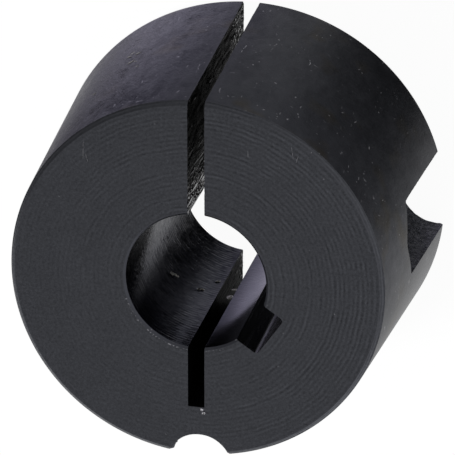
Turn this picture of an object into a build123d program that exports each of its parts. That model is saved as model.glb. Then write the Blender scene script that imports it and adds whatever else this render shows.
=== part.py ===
# Taper bush, size 1008, bored 12 mm: a slit cone with an 8 degree included taper that clamps
# a hub on a shaft. Two set screws in blind half-holes push it into the hub, and one screw in
# the threaded half-hole jacks it out again.
#
# Frame, in millimetres: the bore runs along Z and the large end stands on Z = 0. The slit
# opens towards +Y, and the screw holes are drilled from the large end.
import os
from math import radians, tan

from build123d import *

# Body
large_dia = 35.0  # over the cone at the large-end face
length = 22.0
taper_angle = 4.0  # of the cone's side to its axis
large_end_chamfer = 0.3
small_end_chamfer = 0.35

# Bore and keyway
bore_dia = 12.0
bore_chamfer = 0.2
keyway_width = 4.0
keyway_depth = 1.8  # from the bore's wall to the keyway's floor, at mid width
keyway_angle = -34.7  # of the keyway's middle, turned from +X

# Slit and relief slot, cut on one line that passes beside the axis
slot_width = 1.5
slot_offset = 0.1
relief_web = 2.4  # wall left between the relief slot and the jacking hole

# Set-screw half-holes, drilled blind from the large end
screw_hole_dia = 6.8
screw_hole_inset = 0.5  # of the hole's axis from the large end's rim
screw_hole_depth = 12.0  # without the drill point
screw_hole_angle = 5.2
screw_hole_count = 2
drill_point_angle = 118.0

# Jacking half-hole, right through, at its thread's pitch diameter
jack_hole_dia = 5.5
jack_hole_inset = 0.9
jack_hole_angle = -88.6

large_radius = large_dia / 2
small_radius = large_radius - length * tan(radians(taper_angle))
bore_radius = bore_dia / 2
keyway_reach = bore_radius + keyway_depth
screw_hole_radius = screw_hole_dia / 2
screw_circle_radius = large_radius - screw_hole_inset
drill_point_height = screw_hole_radius / tan(radians(drill_point_angle / 2))
jack_hole_radius = jack_hole_dia / 2
jack_circle_radius = large_radius - jack_hole_inset
relief_reach = jack_circle_radius - jack_hole_radius - relief_web

from_below = (Align.CENTER, Align.CENTER, Align.MIN)


with BuildPart() as bush:
    # The turned cone with its bore: half of its section, spun about the bore's axis.
    with BuildSketch(Plane.XZ) as section:
        with BuildLine():
            Polyline(
                (bore_radius, 0),
                (large_radius, 0),
                (small_radius, length),
                (bore_radius, length),
                close=True,
            )
        make_face()
        bore_corners = section.vertices().group_by(Axis.X)[0]
        small_end_corner, large_end_corner = section.vertices().sort_by(Axis.X)[-2:]
        chamfer(bore_corners, bore_chamfer)
        chamfer(small_end_corner, small_end_chamfer)
        chamfer(large_end_corner, large_end_chamfer)
    revolve(axis=Axis.Z)

    # The slit runs out through the rim, and the relief slot opposite it stops short.
    with BuildSketch():
        with Locations((slot_offset, 0)):
            Rectangle(slot_width, large_radius, align=(Align.CENTER, Align.MIN))
            Rectangle(slot_width, relief_reach, align=(Align.CENTER, Align.MAX))
    extrude(amount=length, mode=Mode.SUBTRACT)

    # The keyway, broached along the whole bore.
    with BuildSketch(Plane.XY.rotated((0, 0, keyway_angle))):
        Rectangle(keyway_reach, keyway_width, align=(Align.MIN, Align.CENTER))
    extrude(amount=length, mode=Mode.SUBTRACT)

    # The set-screw holes overhang the rim, so each leaves a half-hole that ends in the
    # drill's cone.
    with PolarLocations(screw_circle_radius, screw_hole_count, screw_hole_angle):
        Cylinder(screw_hole_radius, screw_hole_depth, align=from_below, mode=Mode.SUBTRACT)
        with Locations((0, 0, screw_hole_depth)):
            Cone(screw_hole_radius, 0, drill_point_height, align=from_below, mode=Mode.SUBTRACT)

    # The jacking hole overhangs the rim along the whole length.
    with PolarLocations(jack_circle_radius, 1, jack_hole_angle):
        Cylinder(jack_hole_radius, length, align=from_below, mode=Mode.SUBTRACT)

bush.part.label = "taper_bush"

os.makedirs("parts", exist_ok=True)
export_step(bush.part, "parts/taper_bush.step")
print(f"taper_bush: {bush.part.volume:.1f} mm3, small end {2 * small_radius:.2f} mm")
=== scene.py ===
from math import cos, pi, radians, sin, tan

import bmesh
import bpy
from mathutils import Matrix, Vector


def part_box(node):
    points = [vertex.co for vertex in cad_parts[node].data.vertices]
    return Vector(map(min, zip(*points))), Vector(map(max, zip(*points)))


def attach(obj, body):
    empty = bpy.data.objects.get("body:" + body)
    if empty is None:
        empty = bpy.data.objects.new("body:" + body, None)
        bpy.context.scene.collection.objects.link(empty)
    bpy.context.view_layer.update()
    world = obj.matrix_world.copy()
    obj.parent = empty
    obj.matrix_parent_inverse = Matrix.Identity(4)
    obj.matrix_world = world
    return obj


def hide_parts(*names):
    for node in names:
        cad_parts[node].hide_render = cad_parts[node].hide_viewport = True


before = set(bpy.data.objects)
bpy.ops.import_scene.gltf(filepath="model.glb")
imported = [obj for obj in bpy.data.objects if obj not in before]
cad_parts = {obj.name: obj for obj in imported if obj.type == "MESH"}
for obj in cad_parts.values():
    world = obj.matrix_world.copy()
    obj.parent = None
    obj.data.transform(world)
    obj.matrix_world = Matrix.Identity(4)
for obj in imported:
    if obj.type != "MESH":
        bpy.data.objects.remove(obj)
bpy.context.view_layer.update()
mm = 0.001


def toLinear(hexColour):
    values = [int(hexColour[i : i + 2], 16) / 255 for i in (1, 3, 5)]
    linear = [v / 12.92 if v <= 0.04045 else ((v + 0.055) / 1.055) ** 2.4 for v in values]
    return (*linear, 1.0)


def aim(azimuth, elevation):
    # the direction seen from the object, in degrees
    az, el = radians(azimuth), radians(elevation)
    return Vector((cos(el) * cos(az), cos(el) * sin(az), sin(el)))


# a colour mix's two colours and its result, by socket position
mixFrom, mixTo, mixed = 6, 7, 2


def addNode(tree, kind, inputs=(), **settings):
    # inputs are given by position in a list, or by name or position in a dictionary
    node = tree.nodes.new(kind)
    for name, value in settings.items():
        setattr(node, name, value)
    for key, value in inputs.items() if isinstance(inputs, dict) else enumerate(inputs):
        if isinstance(value, bpy.types.Node):
            value = value.outputs[0]
        if isinstance(value, bpy.types.NodeSocket):
            tree.links.new(value, node.inputs[key])
        elif value is not None:
            node.inputs[key].default_value = value
    return node


def startTree(name, sockets):
    tree = bpy.data.node_groups.new(name, "GeometryNodeTree")
    tree.interface.new_socket("Geometry", in_out="OUTPUT", socket_type="NodeSocketGeometry")
    tree.interface.new_socket("Geometry", in_out="INPUT", socket_type="NodeSocketGeometry")
    for label, kind in sockets.items():
        tree.interface.new_socket(label, in_out="INPUT", socket_type="NodeSocket" + kind)
    return tree, tree.nodes.new("NodeGroupInput").outputs


def endTree(tree, last):
    addNode(tree, "NodeGroupOutput", [last])
    return tree


def setInputs(modifier, values):
    for socket in modifier.node_group.interface.items_tree:
        if socket.in_out == "INPUT" and socket.name in values:
            modifier[socket.identifier] = values[socket.name]


boxLow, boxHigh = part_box("taper_bush")
rimSlack = 0.001  # keeps the rounded rim inside the box
drillAngle = 118.0  # a twist drill's usual point
bushSizes = {  # millimetres and degrees; whole numbers are counts
    "length": (boxHigh.z - boxLow.z) / mm - rimSlack,
    "largeRadius": 17.5,
    "taper": 4.0,
    "largeChamfer": 0.3,
    "smallChamfer": 0.35,
    "boreRadius": 6.0,
    "boreChamfer": 0.2,
    "edgeRound": 0.06,
    "roundSteps": 3,
    "segments": 512,
    # the saw's own width: its tears reach out from it to the full slot
    "slotWidth": 1.42,
    "slotOffset": 0.06,
    "reliefReach": 11.45,
    "tearSteps": 120,
    "tearDepth": 0.04,
    "slotTear": 0.02,
    "breakDepth": 0.08,
    "breakHeight": 3.5,
    "keyWidth": 4.0,
    "keyReach": 7.8,
    "keyAngle": -34.7,
    "keyRound": 0.34,
    "keyRoundSteps": 4,
    "screwRadius": 3.4,
    "screwCircle": 17.0,
    "screwDepth": 12.0,
    "screwAngle": 5.2,
    "drillTear": 0.07,
    "jackCircle": 16.6,
    "jackAngle": -88.6,
    "threadMinor": 2.58,
    "threadMajor": 2.9,
    "threadPitch": 1.27,
    "threadStart": 0.4,
}
bushSizes["drillPoint"] = bushSizes["screwRadius"] / tan(radians(drillAngle / 2))

# each nick's azimuth, radius, height, half sizes (outward, round, up), tilt and finish
nicks = [
    # gouges in the bore, torn inside like a drilled wall
    (-137.0, 5.95, 11.9, (0.3, 0.8, 0.15), -36.0, "drilledWall"),
    (-111.5, 5.95, 11.1, (0.22, 0.6, 0.1), -36.0, "drilledWall"),
    (-101.5, 5.95, 8.35, (0.2, 0.55, 0.07), -36.0, "drilledWall"),
    (-163.0, 5.95, 9.4, (0.15, 0.2, 0.12), 20.0, "drilledWall"),
    (-160.5, 5.95, 8.2, (0.14, 0.14, 0.2), 0.0, "drilledWall"),
    # the chip below the relief slot
    (-87.4, 11.7, 22.0, (0.14, 0.16, 0.06), 0.0, "bareNick"),
    (-86.7, 12.02, 22.0, (0.13, 0.18, 0.035), 20.0, "bareNick"),
    # scratches on the face
    (130.6, 14.6, 22.0, (1.0, 0.02, 0.015), -42.0, "dullNick"),
    (131.6, 13.9, 22.0, (0.5, 0.018, 0.012), -25.0, "dullNick"),
    (56.4, 14.7, 22.0, (0.7, 0.02, 0.015), 42.0, "dullNick"),
    (53.9, 14.5, 22.0, (0.4, 0.018, 0.012), 20.0, "dullNick"),
    (69.4, 12.6, 22.0, (0.35, 0.02, 0.015), 22.0, "dullNick"),
]

# raised burrs, given the same way: their tops catch the light from above
burrs = [
    # lips of the bore's gouges
    (-138.2, 5.97, 11.55, (0.14, 0.26, 0.14), -36.0, "cleanNick"),
    (-135.6, 5.97, 11.25, (0.11, 0.24, 0.1), -36.0, "cleanNick"),
    (-133.2, 5.98, 11.15, (0.1, 0.2, 0.1), -36.0, "cleanNick"),
    (-111.8, 5.98, 10.78, (0.12, 0.24, 0.1), -36.0, "cleanNick"),
    (-109.6, 5.98, 10.6, (0.12, 0.2, 0.09), -36.0, "cleanNick"),
    (-101.4, 5.98, 8.05, (0.08, 0.3, 0.07), -36.0, "cleanNick"),
    # on the corner of the bore and the relief slot
    (-84.9, 6.05, 10.9, (0.12, 0.3, 0.42), -20.0, "cleanNick"),
    (-84.7, 6.05, 9.2, (0.07, 0.3, 0.16), 15.0, "cleanNick"),
    # metal raised by knocks on the taper
    (121.0, 16.97, 7.4, (0.03, 0.5, 0.08), 25.0, "cleanNick"),
    (122.2, 16.95, 8.0, (0.03, 0.4, 0.07), -30.0, "cleanNick"),
    (118.9, 16.93, 8.2, (0.03, 0.35, 0.07), 10.0, "cleanNick"),
    (120.4, 17.04, 6.3, (0.03, 0.3, 0.07), -50.0, "cleanNick"),
    (120.0, 16.82, 9.8, (0.03, 0.45, 0.08), 20.0, "cleanNick"),
    (118.3, 16.78, 10.2, (0.03, 0.3, 0.06), -35.0, "cleanNick"),
    (116.3, 16.67, 11.8, (0.03, 0.25, 0.08), -35.0, "cleanNick"),
    (131.0, 16.6, 12.9, (0.03, 0.3, 0.06), -20.0, "cleanNick"),
]

sawTears = {  # waves to the millimetre, and the noise values at which a tear starts and is full
    "waves": (9.0, 4.2, 0.35), "start": 0.48, "full": 0.78,
    "breakWaves": 3.2, "breakStart": 0.35, "breakFull": 0.7, "rows": 60,
}
drillGrain = {"waves": 2.6, "start": 0.3, "full": 0.75, "fade": 0.6, "sides": 96, "rows": 40}
thread = {  # its flank's start and end in turns, its mouth and how finely it is drawn
    "crest": 0.06, "root": 0.44, "mouthGrowth": 0.15, "mouthDepth": 0.9,
    "sides": 96, "rowsPerTurn": 12.0,
}
# nicks and burrs are balls of uneven radius: no two heights have quite the same noise
lumpShape = {
    "splits": 4, "waves": 1.6, "wavesByHeight": 0.1,
    "start": 0.3, "full": 0.7, "least": 0.45, "most": 1.15,
}
# how far a faced or a chamfered surface looks upward, and the radii that set the finishes apart
tellApart = {"facedFrom": 0.995, "slopedFrom": 0.3, "outerFrom": 10.0, "boreSlack": 0.02}
overrun = 1.0  # how far a cutter runs past each end
weldDistance = 0.0002


def makeSpinTree():
    # turns a closed section, a curve in the xz plane, about the z axis into a closed skin
    tree, given = startTree("spinSection", {"segments": "Int"})
    size = addNode(tree, "GeometryNodeAttributeDomainSize", [given["Geometry"]], component="CURVE")
    count = size.outputs["Point Count"]
    rows = addNode(tree, "ShaderNodeMath", [given["segments"], 1.0], operation="ADD")
    columns = addNode(tree, "ShaderNodeMath", [count, 1.0], operation="ADD")
    grid = addNode(tree, "GeometryNodeMeshGrid", {"Vertices X": columns, "Vertices Y": rows})
    index = addNode(tree, "GeometryNodeInputIndex")
    ratio = addNode(tree, "ShaderNodeMath", [index, rows], operation="DIVIDE")
    column = addNode(tree, "ShaderNodeMath", [ratio], operation="FLOOR")
    share = addNode(tree, "ShaderNodeMath", [ratio], operation="FRACT")
    step = addNode(tree, "ShaderNodeMath", [share, rows], operation="MULTIPLY")
    full = addNode(tree, "ShaderNodeMath", [2 * pi, given["segments"]], operation="DIVIDE")
    angle = addNode(tree, "ShaderNodeMath", [step, full], operation="MULTIPLY")
    which = addNode(tree, "ShaderNodeMath", [column, count], operation="FLOORED_MODULO")
    place = addNode(tree, "GeometryNodeInputPosition")
    section = addNode(
        tree, "GeometryNodeSampleIndex",
        {"Geometry": given["Geometry"], "Value": place, "Index": which}, data_type="FLOAT_VECTOR",
    )
    parts = addNode(tree, "ShaderNodeSeparateXYZ", [section])
    axis = addNode(tree, "ShaderNodeCombineXYZ", [0.0, 0.0, 1.0])
    flat = addNode(tree, "ShaderNodeCombineXYZ", [parts.outputs[0], 0.0, parts.outputs[2]])
    turned = addNode(
        tree, "ShaderNodeVectorRotate", {"Vector": flat, "Axis": axis, "Angle": angle},
        rotation_type="AXIS_ANGLE",
    )
    skin = addNode(tree, "GeometryNodeSetPosition", {"Geometry": grid, "Position": turned})
    closed = addNode(tree, "GeometryNodeMergeByDistance", {"Geometry": skin, "Distance": weldDistance})
    return endTree(tree, addNode(tree, "GeometryNodeFlipFaces", [closed]))


def makeTearTree(s):
    # pushes a cutter's two long faces in and out, so that the wall it leaves is torn along z
    sockets = dict.fromkeys(("depth", "breakDepth", "breakHeight"), "Float")
    tree, given = startTree("sawTears", sockets)
    place = addNode(tree, "GeometryNodeInputPosition")
    spread = addNode(tree, "ShaderNodeVectorMath", [place, s["waves"]], operation="MULTIPLY")
    tears = addNode(
        tree, "ShaderNodeTexNoise",
        {"Vector": spread, "Scale": 1.0, "Detail": 3.0, "Roughness": 0.65, "Distortion": 0.35},
    )
    lumps = addNode(
        tree, "ShaderNodeTexNoise",
        {"Vector": place, "Scale": s["breakWaves"], "Detail": 4.0, "Roughness": 0.7},
    )
    xyz = addNode(tree, "ShaderNodeSeparateXYZ", [place])
    tearOut = addNode(tree, "ShaderNodeMapRange", [tears, s["start"], s["full"], 0.0, given["depth"]])
    lumpOut = addNode(
        tree, "ShaderNodeMapRange", [lumps, s["breakStart"], s["breakFull"], 0.0, given["breakDepth"]],
    )
    nearEnd = addNode(tree, "ShaderNodeMapRange", [xyz.outputs[2], given["breakHeight"], 0.0, 0.0, 1.0])
    torn = addNode(tree, "ShaderNodeMath", [lumpOut, nearEnd, tearOut], operation="MULTIPLY_ADD")
    side = addNode(tree, "ShaderNodeMath", [xyz.outputs[0]], operation="SIGN")
    shift = addNode(tree, "ShaderNodeMath", [torn, side], operation="MULTIPLY")
    offset = addNode(tree, "ShaderNodeCombineXYZ", [shift, 0.0, 0.0])
    moved = addNode(tree, "GeometryNodeSetPosition", {"Geometry": given["Geometry"], "Offset": offset})
    return endTree(tree, moved)


def turnAboutZ(tree, geometry, degrees):
    angle = addNode(tree, "ShaderNodeMath", [degrees], operation="RADIANS")
    angle = addNode(tree, "ShaderNodeCombineXYZ", [0.0, 0.0, angle])
    return addNode(tree, "GeometryNodeTransform", {"Geometry": geometry, "Rotation": angle})


def shiftBy(tree, geometry, x=0.0, y=0.0, z=0.0):
    shift = addNode(tree, "ShaderNodeCombineXYZ", [x, y, z])
    return addNode(tree, "GeometryNodeTransform", {"Geometry": geometry, "Translation": shift})


def turnedBlank(tree, given, spin):
    section = addNode(tree, "GeometryNodeMeshToCurve", [given["Geometry"]])
    softened = addNode(
        tree, "GeometryNodeFilletCurve",
        {"Curve": section, "Count": given["roundSteps"], "Radius": given["edgeRound"]}, mode="POLY",
    )
    blank = addNode(tree, "GeometryNodeGroup", node_tree=spin)
    tree.links.new(softened.outputs[0], blank.inputs["Geometry"])
    tree.links.new(given["segments"], blank.inputs["segments"])
    return addNode(tree, "GeometryNodeSetMaterial", {"Geometry": blank, "Material": given["turnedCone"]})


def sawCut(tree, given, tear, over, middle, reach, side, depth, finish):
    # one blade's cut, from the axis out to its reach, on the +y or the -y side
    size = addNode(tree, "ShaderNodeCombineXYZ", [given["slotWidth"], reach, over])
    box = addNode(tree, "GeometryNodeMeshCube", {
        "Size": size, "Vertices X": 2, "Vertices Y": given["tearSteps"], "Vertices Z": sawTears["rows"],
    })
    halfReach = addNode(tree, "ShaderNodeMath", [reach, 0.5 * side], operation="MULTIPLY")
    box = shiftBy(tree, box, y=halfReach, z=middle)
    rough = addNode(tree, "GeometryNodeGroup", node_tree=tear)
    tree.links.new(box.outputs[0], rough.inputs["Geometry"])
    tree.links.new(given[depth], rough.inputs["depth"])
    for label in ("breakDepth", "breakHeight"):
        tree.links.new(given[label], rough.inputs[label])
    rough = shiftBy(tree, rough, x=given["slotOffset"])
    return addNode(tree, "GeometryNodeSetMaterial", {"Geometry": rough, "Material": given[finish]})


def keyBar(tree, given, over):
    # the keyway's bar, with the small radius that the broach leaves in its corners
    mouth = addNode(tree, "GeometryNodeCurvePrimitiveQuadrilateral", {
        "Width": given["keyReach"], "Height": given["keyWidth"],
    })
    mouth = addNode(
        tree, "GeometryNodeFilletCurve",
        {"Curve": mouth, "Count": given["keyRoundSteps"], "Radius": given["keyRound"]}, mode="POLY",
    )
    halfKey = addNode(tree, "ShaderNodeMath", [given["keyReach"], 0.5], operation="MULTIPLY")
    mouth = shiftBy(tree, mouth, x=halfKey)
    top = addNode(tree, "ShaderNodeCombineXYZ", [0.0, 0.0, over])
    upward = addNode(tree, "GeometryNodeCurvePrimitiveLine", {"Start": (0.0, 0.0, -overrun), "End": top})
    bar = addNode(
        tree, "GeometryNodeCurveToMesh", {"Curve": upward, "Profile Curve": mouth, "Fill Caps": True},
    )
    bar = turnAboutZ(tree, bar, given["keyAngle"])
    return addNode(tree, "GeometryNodeSetMaterial", {"Geometry": bar, "Material": given["keyWall"]})


def drilledHoles(tree, given, s):
    # two blind half-holes for the screws, each drilled along the rim and ending in a drill point
    barrel = addNode(tree, "GeometryNodeMeshCylinder", {
        "Vertices": s["sides"], "Side Segments": s["rows"], "Fill Segments": 1,
        "Radius": given["screwRadius"], "Depth": given["screwDepth"],
    })
    halfDepth = addNode(tree, "ShaderNodeMath", [given["screwDepth"], 0.5], operation="MULTIPLY")
    barrel = shiftBy(tree, barrel.outputs["Mesh"], z=halfDepth)
    # the wall is torn outwards, except next to the drill point
    place = addNode(tree, "GeometryNodeInputPosition")
    xyz = addNode(tree, "ShaderNodeSeparateXYZ", [place])
    grain = addNode(
        tree, "ShaderNodeTexNoise",
        {"Vector": place, "Scale": s["waves"], "Detail": 4.0, "Roughness": 0.7},
    )
    depth, tear = given["screwDepth"], given["drillTear"]
    grainOut = addNode(tree, "ShaderNodeMapRange", [grain, s["start"], s["full"], 0.0, tear])
    nearEnd = addNode(tree, "ShaderNodeMath", [depth, xyz.outputs[2]], operation="SUBTRACT")
    inside = addNode(tree, "ShaderNodeMapRange", [nearEnd, 0.0, s["fade"], 0.0, 1.0])
    grainOut = addNode(tree, "ShaderNodeMath", [grainOut, inside], operation="MULTIPLY")
    outward = addNode(tree, "ShaderNodeVectorMath", [place, (1.0, 1.0, 0.0)], operation="MULTIPLY")
    outward = addNode(tree, "ShaderNodeVectorMath", [outward], operation="NORMALIZE")
    outward = addNode(tree, "ShaderNodeVectorMath", {0: outward, "Scale": grainOut}, operation="SCALE")
    barrel = addNode(tree, "GeometryNodeSetPosition", {"Geometry": barrel, "Offset": outward})
    starter = addNode(tree, "GeometryNodeMeshCylinder", {
        "Vertices": s["sides"], "Side Segments": 1, "Fill Segments": 1,
        "Radius": given["screwRadius"], "Depth": 2 * overrun,
    })
    tip = addNode(tree, "GeometryNodeMeshCone", {
        "Vertices": s["sides"], "Side Segments": 1, "Fill Segments": 1, "Radius Top": 0.0,
        "Radius Bottom": given["screwRadius"], "Depth": given["drillPoint"],
    })
    tip = shiftBy(tree, tip, z=given["screwDepth"])
    drill = addNode(tree, "GeometryNodeMeshBoolean", operation="UNION", solver="EXACT")
    for piece in (barrel, starter, tip):
        tree.links.new(piece.outputs[0], drill.inputs["Mesh 2"])
    drill = addNode(tree, "GeometryNodeSetMaterial", {
        "Geometry": drill, "Material": given["drilledWall"],
    })
    # of four places on the circle, only the first and the one opposite it are drilled
    spots = addNode(tree, "GeometryNodeMeshCircle", {"Vertices": 4, "Radius": given["screwCircle"]})
    index = addNode(tree, "GeometryNodeInputIndex")
    odd = addNode(tree, "ShaderNodeMath", [index, 2.0], operation="MODULO")
    even = addNode(tree, "ShaderNodeMath", [1.0, odd], operation="SUBTRACT")
    holes = addNode(
        tree, "GeometryNodeInstanceOnPoints", {"Points": spots, "Instance": drill, "Selection": even},
    )
    holes = turnAboutZ(tree, holes, given["screwAngle"])
    return addNode(tree, "GeometryNodeRealizeInstances", [holes])


def tappedHole(tree, given, over, middle, s):
    # the jacking screw's half-hole: a skin whose radius follows the thread's helix
    rise = addNode(tree, "ShaderNodeMath", [over, overrun], operation="ADD")
    turns = addNode(tree, "ShaderNodeMath", [rise, given["threadPitch"]], operation="DIVIDE")
    rows = addNode(tree, "ShaderNodeMath", [turns, s["rowsPerTurn"]], operation="MULTIPLY")
    tap = addNode(tree, "GeometryNodeMeshCylinder", {
        "Vertices": s["sides"], "Side Segments": rows, "Fill Segments": 1, "Radius": 1.0, "Depth": rise,
    })
    tap = shiftBy(tree, tap.outputs["Mesh"], z=middle)
    place = addNode(tree, "GeometryNodeInputPosition")
    xyz = addNode(tree, "ShaderNodeSeparateXYZ", [place])
    around = addNode(tree, "ShaderNodeMath", [xyz.outputs[1], xyz.outputs[0]], operation="ARCTAN2")
    around = addNode(tree, "ShaderNodeMath", [around, 2 * pi], operation="DIVIDE")
    up = addNode(tree, "ShaderNodeMath", [xyz.outputs[2], given["threadPitch"]], operation="DIVIDE")
    phase = addNode(tree, "ShaderNodeMath", [up, around], operation="SUBTRACT")
    phase = addNode(tree, "ShaderNodeMath", [phase, given["threadStart"]], operation="SUBTRACT")
    wave = addNode(tree, "ShaderNodeMath", [phase, 0.5], operation="PINGPONG")
    radius = addNode(tree, "ShaderNodeMapRange", [
        wave, s["crest"], s["root"], given["threadMajor"], given["threadMinor"],
    ])
    # countersunk at the large end
    mouthRadius = addNode(
        tree, "ShaderNodeMath", [given["threadMajor"], s["mouthGrowth"]], operation="ADD",
    )
    sunk = addNode(tree, "ShaderNodeMapRange", [
        xyz.outputs[2], 0.0, s["mouthDepth"], mouthRadius, given["threadMinor"],
    ])
    radius = addNode(tree, "ShaderNodeMath", [radius, sunk], operation="MAXIMUM")
    flat = addNode(tree, "ShaderNodeVectorMath", [place, (1.0, 1.0, 0.0)], operation="MULTIPLY")
    grown = addNode(tree, "ShaderNodeVectorMath", {0: flat, "Scale": radius}, operation="SCALE")
    height = addNode(tree, "ShaderNodeCombineXYZ", [0.0, 0.0, xyz.outputs[2]])
    grown = addNode(tree, "ShaderNodeVectorMath", [grown, height], operation="ADD")
    tap = addNode(tree, "GeometryNodeSetPosition", {"Geometry": tap, "Position": grown})
    tap = turnAboutZ(tree, shiftBy(tree, tap, x=given["jackCircle"]), given["jackAngle"])
    return addNode(tree, "GeometryNodeSetMaterial", {"Geometry": tap, "Material": given["tappedWall"]})


def unevenLump(tree, given, s, azimuth, radius, height, sizes, tilt, finish):
    ball = addNode(tree, "GeometryNodeMeshIcoSphere", {"Radius": 1.0, "Subdivisions": s["splits"]})
    place = addNode(tree, "GeometryNodeInputPosition")
    waves = s["waves"] + s["wavesByHeight"] * height
    knock = addNode(tree, "ShaderNodeTexNoise", {"Vector": place, "Scale": waves, "Detail": 2.0})
    knock = addNode(tree, "ShaderNodeMapRange", [knock, s["start"], s["full"], s["least"], s["most"]])
    uneven = addNode(tree, "ShaderNodeVectorMath", {0: place, "Scale": knock}, operation="SCALE")
    lump = addNode(tree, "GeometryNodeSetPosition", {"Geometry": ball.outputs["Mesh"], "Position": uneven})
    # on the small end it turns in the face's plane, and elsewhere in the wall's
    onFace = height > bushSizes["length"] - overrun
    turn = (0.0, 0.0, radians(tilt)) if onFace else (radians(tilt), 0.0, 0.0)
    lump = addNode(tree, "GeometryNodeTransform", {"Geometry": lump, "Scale": sizes, "Rotation": turn})
    lump = addNode(tree, "GeometryNodeTransform", {
        "Geometry": lump, "Rotation": (0.0, 0.0, radians(azimuth)),
        "Translation": (radius * cos(radians(azimuth)), radius * sin(radians(azimuth)), height),
    })
    return addNode(tree, "GeometryNodeSetMaterial", {"Geometry": lump, "Material": given[finish]})


def finishBlank(tree, given, bush, s):
    # faces that belong to the blank are told apart by where they lie
    place = addNode(tree, "GeometryNodeInputPosition")
    normal = addNode(tree, "ShaderNodeSeparateXYZ", [addNode(tree, "GeometryNodeInputNormal")])
    upward = normal.outputs[2]
    blankOnly = addNode(tree, "GeometryNodeMaterialSelection", [given["turnedCone"]])
    flat = addNode(tree, "ShaderNodeVectorMath", [place, (1.0, 1.0, 0.0)], operation="MULTIPLY")
    radius = addNode(tree, "ShaderNodeVectorMath", [flat], operation="LENGTH").outputs["Value"]
    radius = addNode(tree, "ShaderNodeMath", [radius, 1 / mm], operation="MULTIPLY")
    level = addNode(tree, "ShaderNodeMath", [upward], operation="ABSOLUTE")
    faced = addNode(tree, "ShaderNodeMath", [level, s["facedFrom"]], operation="GREATER_THAN")
    sloped = addNode(tree, "ShaderNodeMath", [upward, s["slopedFrom"]], operation="GREATER_THAN")
    outerOnly = addNode(tree, "ShaderNodeMath", [radius, s["outerFrom"]], operation="GREATER_THAN")
    sloped = addNode(tree, "ShaderNodeMath", [sloped, outerOnly], operation="MULTIPLY")
    boreLimit = addNode(tree, "ShaderNodeMath", [given["boreRadius"], s["boreSlack"]], operation="ADD")
    bored = addNode(tree, "ShaderNodeMath", [radius, boreLimit], operation="LESS_THAN")
    for chosen, finish in ((faced, "turnedFace"), (sloped, "turnedChamfer"), (bored, "boredWall")):
        ofBlank = addNode(tree, "ShaderNodeMath", [chosen, blankOnly], operation="MULTIPLY")
        bush = addNode(tree, "GeometryNodeSetMaterial", {
            "Geometry": bush, "Selection": ofBlank, "Material": given[finish],
        })
    return bush


def makeBushTree(spin, tear):
    sockets = {name: "Int" if isinstance(value, int) else "Float" for name, value in bushSizes.items()}
    sockets |= {name: "Material" for name in finishes}
    tree, given = startTree("taperBush", sockets)
    blank = turnedBlank(tree, given, spin)
    over = addNode(tree, "ShaderNodeMath", [given["length"], 2 * overrun], operation="ADD")
    middle = addNode(tree, "ShaderNodeMath", [given["length"], 0.5], operation="MULTIPLY")
    slitReach = addNode(tree, "ShaderNodeMath", [given["largeRadius"], overrun], operation="ADD")
    # the slit is open to the outside, and the relief slot opposite it stops short
    cutters = [
        sawCut(tree, given, tear, over, middle, slitReach, 1, "tearDepth", "sawnWall"),
        sawCut(tree, given, tear, over, middle, given["reliefReach"], -1, "slotTear", "slotWall"),
        keyBar(tree, given, over),
        drilledHoles(tree, given, drillGrain),
        tappedHole(tree, given, over, middle, thread),
    ]
    cutters += [unevenLump(tree, given, lumpShape, *nick) for nick in nicks]
    bush = addNode(tree, "GeometryNodeMeshBoolean", [blank], operation="DIFFERENCE", solver="MANIFOLD")
    for cutter in cutters:
        tree.links.new(cutter.outputs[0], bush.inputs["Mesh 2"])
    lips = [unevenLump(tree, given, lumpShape, *burr) for burr in burrs]
    whole = addNode(tree, "GeometryNodeJoinGeometry")
    for piece in (bush, *lips):
        tree.links.new(piece.outputs[0], whole.inputs["Geometry"])
    whole = addNode(tree, "GeometryNodeTransform", {"Geometry": whole, "Scale": (mm, mm, mm)})
    whole = addNode(tree, "GeometryNodeRealizeInstances", [whole])
    return endTree(tree, finishBlank(tree, given, whole, tellApart))


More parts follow.
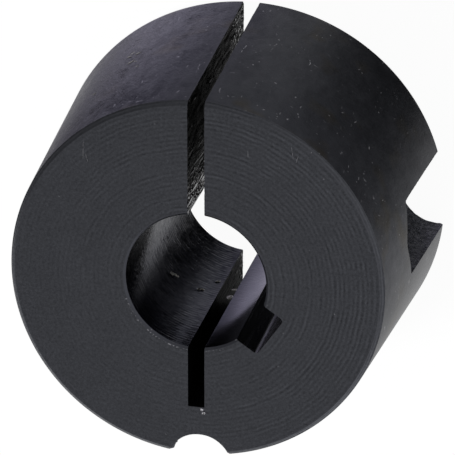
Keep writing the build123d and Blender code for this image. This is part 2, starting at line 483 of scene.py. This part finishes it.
# Lengths are in millimetres. Each layer is (kind, size, stretch, tone, height, roughness), each mark is
# (spacing, radius, stretch, share of spots that are worn, how bare), and each tear is (size, stretch,
# noise value from which it shows, how much less is enough by the bore, and by the large end, how bare).
# Real feed lines are 0.1 mm apart or less, too fine to show, so rings and levels are drawn coarser.
looks = {
    # faced on a lathe, then blackened: rings that show by the light they catch, as bumps and as painted
    # sheen in their tone
    "turnedFace": {
        "name": "blackenedTurnedFace", "colour": "#38393d", "roughness": 0.34, "edge": 0.6,
        "layers": [
            # the rings' lighter and darker tone is painted sheen; their height is a real bump
            ("rings", 0.39, (1, 1, 1), 0.17, 0.010, 0.0),
            ("rings", 0.61, (1, 1, 1), 0.055, 0.0045, 0.0),
            ("noise", 0.25, (1, 1, 1), 0.15, 0.0025, 0.02),
            ("noise", 0.12, (1, 1, 1), 0.17, 0.001, 0.0),
            ("noise", 2.6, (1, 1, 1), 0.04, 0.0, 0.02),
        ],
        # torn next to the bore only, and on the relief slot's side
        "torn": [(0.2, (1, 1, 1), 0.8, 0.26, 0.0, 0.3)],
        "boreFade": (6.2, 6.8),
        "tornToward": (-115.0, 2.0, 4.5),
        # which layers are stronger on one side, here the rings' painted sheen: towards, from, to, strength
        # at each
        "dragAndPaintedSheen": (("rings",), 30.0, -12.0, 12.0, 0.28, 1.3),
        "marks": [(1.2, 0.07, (1, 1, 1), 0.6, 0.3)],
    },
    # the outer chamfer, turned with a coarser tool: its few lines stand out
    "turnedChamfer": {
        "name": "blackenedTurnedChamfer", "colour": "#38393d", "roughness": 0.32, "edge": 0.6,
        "layers": [
            ("rings", 0.22, (1, 1, 1), 0.28, 0.008, 0.03),
            ("noise", 0.25, (1, 1, 1), 0.12, 0.006, 0.02),
        ],
        "marks": [(1.2, 0.07, (1, 1, 1), 0.4, 0.5)],
    },
    # turned along the taper, then handled: cloudy black oxide with scuffs and pale nicks
    "turnedCone": {
        "name": "blackenedTurnedTaper", "colour": "#37383d", "roughness": 0.33, "edge": 0.6,
        "layers": [
            ("levels", 0.23, (1, 1, 1), 0.015, 0.0012, 0.0),
            ("noise", 0.25, (1, 1, 1), 0.06, 0.004, 0.02),
            ("noise", 0.7, (1, 1, 0.6), 0.11, 0.005, 0.03),
            ("noise", 1.6, (1, 1, 0.5), 0.12, 0.004, 0.03),
            ("noise", 4.5, (1, 1, 0.7), 0.1, 0.0, 0.03),
        ],
        # round nicks, then two sets of long scuffs
        "marks": [
            (0.9, 0.1, (1, 1, 1), 0.7, 0.45),
            (0.55, 0.07, (0.2, 1.0, 0.5), 0.8, 0.5),
            (0.55, 0.07, (1.0, 0.3, 0.14), 0.9, 0.5),
        ],
        # brownish patches: colour, size, noise values at which they start and are full
        "stain": ("#393632", 4.5, 0.58, 0.74),
        "dragAndPaintedSheen": (("noise",), 150.0, 8.0, 17.0, 0.4, 1.6),
    },
    # bored: smooth enough to mirror the light, with feed lines and dashes where the tool dragged
    "boredWall": {
        "name": "blackenedBoredWall", "colour": "#2e2f38", "roughness": 0.18, "edge": 0.7,
        "layers": [
            ("levels", 0.42, (1, 1, 1), 0.1, 0.006, 0.03),
            ("noise", 0.3, (0.36, 0.36, 0.9), 0.17, 0.0065, 0.05),
            ("noise", 2.8, (1, 1, 1), 0.06, 0.003, 0.06),
        ],
        "marks": [(1.2, 0.07, (1, 1, 1), 0.3, 0.12)],
        # the tool dragged on this side, and ran clean on the other
        "dragAndPaintedSheen": (("levels", "noise"), 188.0, 1.5, -0.5, 1.0, 0.2),
        # painted shade: darker towards the large end, a dim reflection painted in; heights from and to,
        # and the tone at the lower
        "paintedShadeTowardEnd": (3.0, 13.0, 0.78),
    },
    # sawn through: torn along the cut, bare and bright where the teeth lifted the grain, and otherwise
    # coloured darker and less mirror-like than the other faces as painted shade of the narrow slit
    "sawnWall": {
        "name": "blackenedSawnWallPaintedShade", "colour": "#17181a", "roughness": 0.2, "edge": 0.22,
        "layers": [("noise", 0.25, (1, 1.2, 0.12), 0.4, 0.002, 0.04)],
        "marks": [],
        # long tears along the cut, and short ones near its corners
        "torn": [
            (0.28, (1, 1, 0.08), 0.71, 0.155, 0.0, 0.85),
            (0.22, (1, 1, 0.8), 0.77, 0.22, 0.17, 0.75),
        ],
        "boreFade": (6.3, 15.5),
    },
    # the relief slot's walls: sawn as well, and shut in, their colour and mirror made quite dark as
    # painted shade
    "slotWall": {
        "name": "blackenedSlotWallPaintedShade", "colour": "#1f2022", "roughness": 0.4, "edge": 0.27,
        "layers": [("noise", 0.3, (1, 1.4, 0.2), 0.3, 0.01, 0.05)],
        "marks": [],
        "torn": [(0.25, (1, 1, 0.6), 0.76, 0.0, 0.2, 0.5)],
        "backFade": (0.5, 6.5),
    },
    # broached: straight and smooth along the key, with faint score lines
    "keyWall": {
        "name": "blackenedBroachedKeyway", "colour": "#333438", "roughness": 0.25, "edge": 0.7,
        "layers": [("noise", 0.25, (1, 1, 0.06), 0.15, 0.003, 0.04)],
        "marks": [(1.4, 0.06, (1, 1, 1), 0.4, 0.4)],
    },
    # drilled: the wall is torn and granular, as cast iron is behind a twist drill
    "drilledWall": {
        "name": "blackenedDrilledWall", "colour": "#303136", "roughness": 0.36, "edge": 0.6,
        "layers": [
            ("noise", 0.4, (1, 1, 1), 0.25, 0.045, 0.06),
            ("levels", 0.3, (1, 1, 1), 0.06, 0.004, 0.0),
        ],
        "marks": [(0.9, 0.07, (1, 1, 1), 0.4, 0.35)],
    },
    # where the oxide is knocked off, the iron is bare and pale
    "bareNick": {
        "name": "bareIronNick", "colour": "#5c5b5a", "roughness": 0.4, "edge": 0.8,
        "layers": [("noise", 0.15, (1, 1, 1), 0.5, 0.01, 0.05)],
        "marks": [],
        "torn": [(0.2, (1, 1, 1), 0.38, 0.0, 0.0, 0.85)],
    },
    # a light scratch, half covered again
    "dullNick": {
        "name": "dullIronScratch", "colour": "#4a4a4c", "roughness": 0.4, "edge": 0.8,
        "layers": [("noise", 0.15, (1, 1, 1), 0.5, 0.01, 0.05)],
        "marks": [],
        "torn": [(0.2, (1, 1, 1), 0.4, 0.0, 0.0, 0.35)],
    },
    # raised by a knock and rubbed since: clean iron that glints
    "cleanNick": {
        "name": "cleanIronNick", "colour": "#b8b6b2", "roughness": 0.3, "edge": 0.9,
        "layers": [("noise", 0.15, (1, 1, 1), 0.3, 0.02, 0.05)],
        "marks": [],
    },
    # tapped: cleaner flanks than the drilled wall, with a dull root
    "tappedWall": {
        "name": "blackenedTappedThread", "colour": "#34353a", "roughness": 0.34, "edge": 0.7,
        "layers": [("noise", 0.25, (1, 1, 1), 0.15, 0.004, 0.05)],
        "marks": [],
    },
}
bareIron = "#a9a8ae"
wear = {  # waves are to the millimetre, and four numbers map a noise's range to a strength's
    "waverWaves": 0.5, "waver": 0.7, "bite": (0.35, 1.15),
    "brokenWaves": 0.8, "broken": (0.36, 0.62, 0.15, 1.15), "cloud": (0.32, 0.68, -1.0, 1.0),
    "clumpWaves": 0.3, "clumps": (0.44, 0.56, 0.08, 1.0),
    "bendWaves": 1.1, "bend": 0.6, "core": 0.4, "dimmest": 0.35,
    "tornSoftness": 0.06, "heldBack": -0.3, "boreFade": (6.3, 9.2), "backFade": (4.0, 6.8),
}


def strengthAlong(tree, place, towards, *ends):
    # ends: two distances along a level direction, then the strength at each
    along = addNode(
        tree, "ShaderNodeVectorMath", [place, tuple(aim(towards, 0.0))], operation="DOT_PRODUCT",
    )
    return addNode(tree, "ShaderNodeMapRange", [along.outputs["Value"], *ends])


def cloudPattern(tree, place, size, stretch):
    spread = addNode(tree, "ShaderNodeVectorMath", [place, stretch], operation="MULTIPLY")
    noise = addNode(
        tree, "ShaderNodeTexNoise",
        {"Vector": spread, "Scale": 1 / size, "Detail": 3.0, "Roughness": 0.6, "Distortion": 0.2},
    )
    return addNode(tree, "ShaderNodeMapRange", [noise, *wear["cloud"]])


def toolPattern(tree, place, line, size):
    # each turn of the tool cuts a little differently, and its line wavers slightly
    waver = addNode(
        tree, "ShaderNodeTexNoise", {"Vector": place, "Scale": wear["waverWaves"], "Detail": 1.0},
    )
    line = addNode(tree, "ShaderNodeMath", [waver, size * wear["waver"], line], operation="MULTIPLY_ADD")
    turn = addNode(tree, "ShaderNodeMath", [line, 1 / size], operation="MULTIPLY")
    whole = addNode(tree, "ShaderNodeMath", [turn], operation="FLOOR")
    dice = addNode(tree, "ShaderNodeTexWhiteNoise", {"W": whole}, noise_dimensions="1D")
    bite = addNode(tree, "ShaderNodeMapRange", [dice.outputs["Value"], 0.0, 1.0, *wear["bite"]])
    wave = addNode(tree, "ShaderNodeMath", [turn, 2 * pi], operation="MULTIPLY")
    wave = addNode(tree, "ShaderNodeMath", [wave], operation="SINE")
    broken = addNode(
        tree, "ShaderNodeTexNoise", {"Vector": place, "Scale": wear["brokenWaves"], "Detail": 3.0},
    )
    broken = addNode(tree, "ShaderNodeMapRange", [broken, *wear["broken"]])
    wave = addNode(tree, "ShaderNodeMath", [wave, bite], operation="MULTIPLY")
    return addNode(tree, "ShaderNodeMath", [wave, broken], operation="MULTIPLY")


def toolMarks(tree, look, place, lines):
    # adds up the layers for the colour's tone, the height and the roughness
    sums = {"tone": 1.0, "height": 0.0, "roughness": look["roughness"]}
    # a layer stronger on one side: painted sheen on the face's rings, the tool's drag in the bore
    kinds, *dragAndSheenEnds = look.get("dragAndPaintedSheen", ((),))
    share = strengthAlong(tree, place, *dragAndSheenEnds) if kinds else None
    for kind, size, stretch, *amounts in look["layers"]:
        if kind == "noise":
            pattern = cloudPattern(tree, place, size, stretch)
        else:
            pattern = toolPattern(tree, place, lines[kind], size)
        if kind in kinds:
            pattern = addNode(tree, "ShaderNodeMath", [pattern, share], operation="MULTIPLY")
        for aspect, amount in zip(sums, amounts):
            if amount:
                sums[aspect] = addNode(
                    tree, "ShaderNodeMath", [pattern, amount, sums[aspect]], operation="MULTIPLY_ADD",
                )
    # painted shade: the bore's tone darkens towards the large end
    if "paintedShadeTowardEnd" in look:
        low, high, least = look["paintedShadeTowardEnd"]
        paintedShadeTowardEnd = addNode(tree, "ShaderNodeMapRange", [lines["levels"], low, high, least, 1.0])
        sums["tone"] = addNode(tree, "ShaderNodeMath", [sums["tone"], paintedShadeTowardEnd], operation="MULTIPLY")
    return sums


def wornSpecks(tree, look, place, bare):
    # specks where the oxide is off, in loose clumps
    clumps = addNode(
        tree, "ShaderNodeTexNoise", {"Vector": place, "Scale": wear["clumpWaves"], "Detail": 2.0},
    )
    clumps = addNode(tree, "ShaderNodeMapRange", [clumps, *wear["clumps"]])
    for cell, radius, stretch, chosen, bareness in look["marks"]:
        spread = addNode(tree, "ShaderNodeVectorMath", [place, stretch], operation="MULTIPLY")
        bend = addNode(
            tree, "ShaderNodeTexNoise", {"Vector": place, "Scale": wear["bendWaves"], "Detail": 1.0},
        )
        bend = addNode(
            tree, "ShaderNodeVectorMath", {0: bend.outputs["Color"], "Scale": wear["bend"]},
            operation="SCALE",
        )
        spread = addNode(tree, "ShaderNodeVectorMath", [spread, bend], operation="ADD")
        dots = addNode(tree, "ShaderNodeTexVoronoi", {"Vector": spread, "Scale": 1 / cell}, feature="F1")
        mark = addNode(tree, "ShaderNodeMapRange", [
            dots.outputs["Distance"], wear["core"] * radius / cell, radius / cell, bareness, 0.0,
        ])
        dice = addNode(tree, "ShaderNodeSeparateColor", [dots.outputs["Color"]])
        keep = addNode(tree, "ShaderNodeMath", [dice.outputs[0], chosen], operation="LESS_THAN")
        strong = addNode(tree, "ShaderNodeMapRange", [dice.outputs[1], 0.0, 1.0, wear["dimmest"], 1.0])
        for factor in (keep, strong, clumps):
            mark = addNode(tree, "ShaderNodeMath", [mark, factor], operation="MULTIPLY")
        bare = addNode(tree, "ShaderNodeMath", [mark, bare], operation="MAXIMUM")
    return bare


def tornStreaks(tree, look, place, lines, bare):
    # bare streaks where the grain is torn
    fades = [look.get(name, wear[name]) for name in ("boreFade", "backFade")]
    for size, stretch, edge, nearBore, nearBack, bareness in look.get("torn", ()):
        spread = addNode(tree, "ShaderNodeVectorMath", [place, stretch], operation="MULTIPLY")
        tears = addNode(tree, "ShaderNodeTexNoise", {"Vector": spread, "Scale": 1 / size, "Detail": 2.0})
        for line, fade, more in zip(("rings", "levels"), fades, (nearBore, nearBack)):
            raised = addNode(tree, "ShaderNodeMapRange", [lines[line], *fade, more, 0.0])
            tears = addNode(tree, "ShaderNodeMath", [tears, raised], operation="ADD")
        if "tornToward" in look:
            away = strengthAlong(tree, place, *look["tornToward"], wear["heldBack"], 0.0)
            tears = addNode(tree, "ShaderNodeMath", [tears, away], operation="ADD")
        full = edge + wear["tornSoftness"]
        mark = addNode(tree, "ShaderNodeMapRange", [tears, edge, full, 0.0, bareness])
        bare = addNode(tree, "ShaderNodeMath", [mark, bare], operation="MAXIMUM")
    return bare


def oxideColour(tree, look, place):
    plain = toLinear(look["colour"])
    if "stain" not in look:
        return plain[:3]
    stain, size, low, high = look["stain"]
    patch = addNode(tree, "ShaderNodeTexNoise", {"Vector": place, "Scale": 1 / size, "Detail": 2.0})
    patch = addNode(tree, "ShaderNodeMapRange", [patch, low, high])
    stained = {"Factor": patch, mixFrom: plain, mixTo: toLinear(stain)}
    return addNode(tree, "ShaderNodeMix", stained, data_type="RGBA").outputs[mixed]


def blackIron(look):
    material = bpy.data.materials.new(look["name"])
    material.use_nodes = True
    tree = material.node_tree
    tree.nodes.clear()
    where = addNode(tree, "ShaderNodeTexCoord").outputs["Object"]
    place = addNode(tree, "ShaderNodeVectorMath", {0: where, "Scale": 1 / mm}, operation="SCALE")
    flat = addNode(tree, "ShaderNodeVectorMath", [place, (1.0, 1.0, 0.0)], operation="MULTIPLY")
    lines = {
        "rings": addNode(tree, "ShaderNodeVectorMath", [flat], operation="LENGTH").outputs["Value"],
        "levels": addNode(tree, "ShaderNodeSeparateXYZ", [place]).outputs[2],
    }
    sums = toolMarks(tree, look, place, lines)
    bare = wornSpecks(tree, look, place, 0.0)
    bare = tornStreaks(tree, look, place, lines, bare)
    metallic = 1.0
    toned = addNode(
        tree, "ShaderNodeVectorMath", {0: oxideColour(tree, look, place), "Scale": sums["tone"]},
        operation="SCALE",
    )
    # bare iron is drawn without metal's mirror, so that it keeps its light in a dark room
    if bare:
        metallic = addNode(tree, "ShaderNodeMath", [1.0, bare], operation="SUBTRACT")
        worn = {"Factor": bare, mixFrom: toned, mixTo: toLinear(bareIron)}
        toned = addNode(tree, "ShaderNodeMix", worn, data_type="RGBA").outputs[mixed]
    bump = addNode(tree, "ShaderNodeBump", {"Strength": 1.0, "Distance": mm, "Height": sums["height"]})
    rimmed = addNode(
        tree, "ShaderNodeVectorMath", {0: (look["edge"],) * 3, "Scale": sums["tone"]}, operation="SCALE",
    )
    shader = addNode(tree, "ShaderNodeBsdfPrincipled", {
        "Base Color": toned, "Metallic": metallic, "Roughness": sums["roughness"], "Normal": bump,
        "Specular Tint": rimmed,
    })
    addNode(tree, "ShaderNodeOutputMaterial", [shader])
    return material


finishes = {name: blackIron(look) for name, look in looks.items()}
print("finishes:", len(finishes))


def sectionMesh(s):
    # half the blank's section, drawn once round
    lean = tan(radians(s["taper"]))
    smallRadius = s["largeRadius"] - s["length"] * lean
    bore, chamfer = s["boreRadius"], s["boreChamfer"]
    corners = [
        (bore, chamfer), (bore + chamfer, 0),
        (s["largeRadius"] - s["largeChamfer"], 0),
        (s["largeRadius"] - s["largeChamfer"] * lean, s["largeChamfer"]),
        (smallRadius + s["smallChamfer"] * lean, s["length"] - s["smallChamfer"]),
        (smallRadius - s["smallChamfer"], s["length"]),
        (bore + chamfer, s["length"]), (bore, s["length"] - chamfer),
    ]
    mesh = bpy.data.meshes.new("bushSection")
    links = [(k, (k + 1) % len(corners)) for k in range(len(corners))]
    mesh.from_pydata([(r, 0, z) for r, z in corners], links, [])
    return mesh


def grow(name, mesh, tree, values):
    # runs a tree on a mesh and keeps the plain result
    piece = bpy.data.objects.new(name, mesh)
    bpy.context.scene.collection.objects.link(piece)
    step = piece.modifiers.new(name, "NODES")
    step.node_group = tree
    setInputs(step, values)
    made = bpy.data.meshes.new_from_object(piece.evaluated_get(bpy.context.evaluated_depsgraph_get()))
    piece.modifiers.remove(step)
    piece.data = made
    made.name = name
    for slot in reversed(range(len(made.materials))):
        if made.materials[slot] is None:
            made.materials.pop(index=slot)
    return piece


def sharpenSeams(mesh):
    # an edge between two finishes stays crisp
    skin = bmesh.new()
    skin.from_mesh(mesh)
    for edge in skin.edges:
        if len({face.material_index for face in edge.link_faces}) > 1:
            edge.smooth = False
    skin.to_mesh(mesh)
    openEdges = sum(1 for edge in skin.edges if len(edge.link_faces) != 2)
    volume = round(skin.calc_volume(signed=True) / mm**3, 2)
    print("bush:", len(mesh.polygons), "faces,", openEdges, "open edges,", volume, "mm3")
    skin.free()


sharpFrom = 28.0  # degrees between two faces
bushTree = makeBushTree(makeSpinTree(), makeTearTree(sawTears))
bush = grow("bush", sectionMesh(bushSizes), bushTree, bushSizes | finishes)
bush.data.shade_smooth()
bush.data.set_sharp_from_angle(angle=radians(sharpFrom))
sharpenSeams(bush.data)
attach(bush, "root")
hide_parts("taper_bush")

studio = {  # degrees and millimetres
    "azimuth": 62.273, "elevation": 64.66, "roll": 149.7, "distance": 303.9,
    "target": (0.313, 0.567, 11.0), "lens": 279.44, "sensor": 36.0, "nearest": 10.0,
}


def placeCamera(s):
    roll = radians(s["roll"])
    back = aim(s["azimuth"], s["elevation"])
    level = Vector((0, 0, 1)) - back * back.z
    level.normalize()
    right = (-back).cross(level)
    up = level * cos(roll) + right * sin(roll)
    side = up.cross(back)
    place = (Vector(s["target"]) + back * s["distance"]) * mm
    camera = bpy.data.objects.new("camera", bpy.data.cameras.new("camera"))
    camera.data.lens = s["lens"]
    camera.data.sensor_width = s["sensor"]
    camera.data.clip_start = s["nearest"] * mm
    camera.matrix_world = Matrix.Translation(place) @ Matrix((side, up, back)).transposed().to_4x4()
    bpy.context.scene.collection.objects.link(camera)
    bpy.context.scene.camera = camera


floorSizes = {  # the camera sees mostly glow, and the rest is lit paper
    "half": 1500.0, "drop": 0.02,
    "paper": (0.88, 0.88, 0.88, 1), "glow": (1, 1, 1, 1), "glowShare": 0.95,
}


def makeFloor(s):
    material = bpy.data.materials.new("paperFloor")
    material.use_nodes = True
    tree = material.node_tree
    tree.nodes.clear()
    rays = addNode(tree, "ShaderNodeLightPath")
    paper = addNode(tree, "ShaderNodeBsdfDiffuse", {"Color": s["paper"]})
    glow = addNode(tree, "ShaderNodeEmission", {"Color": s["glow"], "Strength": 1.0})
    share = addNode(
        tree, "ShaderNodeMath", [rays.outputs["Is Camera Ray"], s["glowShare"]], operation="MULTIPLY",
    )
    mix = addNode(tree, "ShaderNodeMixShader", [share, paper, glow])
    addNode(tree, "ShaderNodeOutputMaterial", {"Surface": mix})
    mesh = bpy.data.meshes.new("floor")
    half, level = s["half"] * mm, -s["drop"] * mm
    corners = [(x * half, y * half, level) for x, y in ((-1, -1), (1, -1), (1, 1), (-1, 1))]
    mesh.from_pydata(corners, [], [(0, 1, 2, 3)])
    mesh.materials.append(material)
    floor = bpy.data.objects.new("floor", mesh)
    bpy.context.scene.collection.objects.link(floor)
    floor.visible_glossy = False


room = {  # what the metal mirrors, as strengths and directions in degrees
    "slope": 0.46, "slopeToward": -26.0, "lowStrength": 0.92, "lowFrom": -0.35,
    # each soft panel: azimuth, elevation, where it starts to fade, where it ends, strength
    "panels": [
        (24.0, -60.0, 11.0, 31.0, 0.29), (197.0, -47.0, 1.0, 21.0, 0.8),
        (18.0, -72.0, 8.5, 16.0, 0.08), (166.0, -68.0, 8.5, 11.5, 1.95),
        (174.0, -47.0, 6.0, 20.0, 0.42),
        (-72.0, -3.0, 10.0, 31.0, 1.9), (224.0, -5.0, 10.0, 52.0, 2.5),
    ],
    "coolSpot": (156.0, -58.0, 10.0, 32.0), "coolColour": (0.98, 0.93, 1.17),
    "onFloor": 0.72,
}


def makeWorld(s):
    world = bpy.data.worlds.new("studio")
    bpy.context.scene.world = world
    world.use_nodes = True
    tree = world.node_tree
    tree.nodes.clear()
    rays = addNode(tree, "ShaderNodeLightPath").outputs
    where = addNode(tree, "ShaderNodeTexCoord").outputs["Generated"]

    def facing(azimuth, elevation):
        direction = tuple(aim(azimuth, elevation))
        dot = addNode(tree, "ShaderNodeVectorMath", [where, direction], operation="DOT_PRODUCT")
        return dot.outputs["Value"]

    def spot(azimuth, elevation, inner, outer, low, high):
        return addNode(
            tree, "ShaderNodeMapRange",
            [facing(azimuth, elevation), cos(radians(outer)), cos(radians(inner)), low, high],
            interpolation_type="SMOOTHERSTEP",
        )

    height = addNode(tree, "ShaderNodeSeparateXYZ", [where]).outputs[2]
    mirrored = addNode(tree, "ShaderNodeMapRange", [height, s["lowFrom"], 0.0, s["lowStrength"], 1.0])
    uphill = facing(s["slopeToward"], 0.0)
    slope = addNode(tree, "ShaderNodeMath", [uphill, s["slope"], 1.0], operation="MULTIPLY_ADD")
    mirrored = addNode(tree, "ShaderNodeMath", [mirrored, slope], operation="MULTIPLY")
    for *panel, strength in s["panels"]:
        mirrored = addNode(
            tree, "ShaderNodeMath", [mirrored, spot(*panel, 1.0, strength)], operation="MULTIPLY",
        )
    near = spot(*s["coolSpot"], 0.0, 1.0)
    cool = {"Factor": near, mixFrom: (1, 1, 1, 1), mixTo: (*s["coolColour"], 1)}
    tint = addNode(tree, "ShaderNodeMix", cool, data_type="RGBA")
    # what the metal mirrors has the panels in it, and the light that falls on things is even
    shown = addNode(tree, "ShaderNodeMix", [rays["Is Glossy Ray"], None, 1.0, mirrored])
    seen = rays["Is Camera Ray"]
    for kind in ("Is Glossy Ray", "Is Transmission Ray"):
        seen = addNode(tree, "ShaderNodeMath", [seen, rays[kind]], operation="MAXIMUM")
    strength = addNode(
        tree, "ShaderNodeMapRange", {"Value": seen, "To Min": s["onFloor"], "To Max": shown},
    )
    back = addNode(tree, "ShaderNodeBackground", [tint.outputs[mixed], strength])
    addNode(tree, "ShaderNodeOutputWorld", {"Surface": back})


keyLamp = {"azimuth": 205, "elevation": 42, "distance": 400, "size": 120, "power": 1.6}


def addLamp(name, s):
    back = aim(s["azimuth"], s["elevation"])
    lamp = bpy.data.objects.new(name, bpy.data.lights.new(name, "AREA"))
    lamp.data.size = s["size"] * mm
    lamp.data.energy = s["power"]
    lamp.location = back * s["distance"] * mm
    lamp.rotation_euler = back.to_track_quat("Z", "Y").to_euler()
    lamp.visible_glossy = False
    bpy.context.scene.collection.objects.link(lamp)


makeFloor(floorSizes)
makeWorld(room)
addLamp("keyLamp", keyLamp)
placeCamera(studio)
bpy.context.scene.view_settings.view_transform = "Standard"
print("room, lamp and camera: done")
